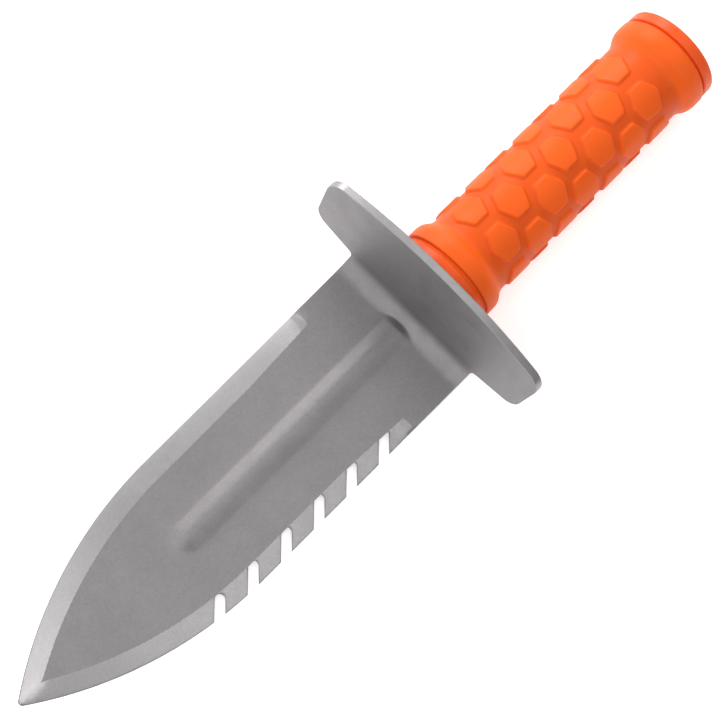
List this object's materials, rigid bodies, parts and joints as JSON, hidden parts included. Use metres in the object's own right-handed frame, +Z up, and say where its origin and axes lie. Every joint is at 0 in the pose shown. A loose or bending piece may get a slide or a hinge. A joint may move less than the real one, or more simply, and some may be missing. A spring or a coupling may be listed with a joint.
{
  "type": "digging knife",
  "caption": "Fixed-blade digging knife for the garden: bent stainless blade and hand guard, slotted edge, stiffening rib and an orange rubber grip on a steel tube.",
  "frame": {"origin": "on the plane that the knife rests on, under the middle of its overall box", "axes": "+X from the blade's tip to the butt, +Z up from the blade's flat underside, slotted edge towards -Y"},
  "size_m": [0.31, 0.0954, 0.0411],
  "materials": {
    "stainless_blade": "fine bead-blasted matte, with smoother ground edges",
    "tube_steel": "drawn tube, satin",
    "weld_metal": "rippled weld bead",
    "plug_steel": "turned steel",
    "orange_plastic": "satin moulded plastic",
    "orange_rubber": "satin moulded rubber",
    "screw_steel": "bright stainless"
  },
  "bodies": {
    "root": {"blade": "stainless_blade", "handle_tube": "tube_steel", "tube_weld": "weld_metal", "threaded_plug": "plug_steel", "front_collar": "orange_plastic", "grip_sleeve": "orange_rubber", "butt_cap": "orange_plastic", "cap_screw": "screw_steel"}
  },
  "joints": []
}
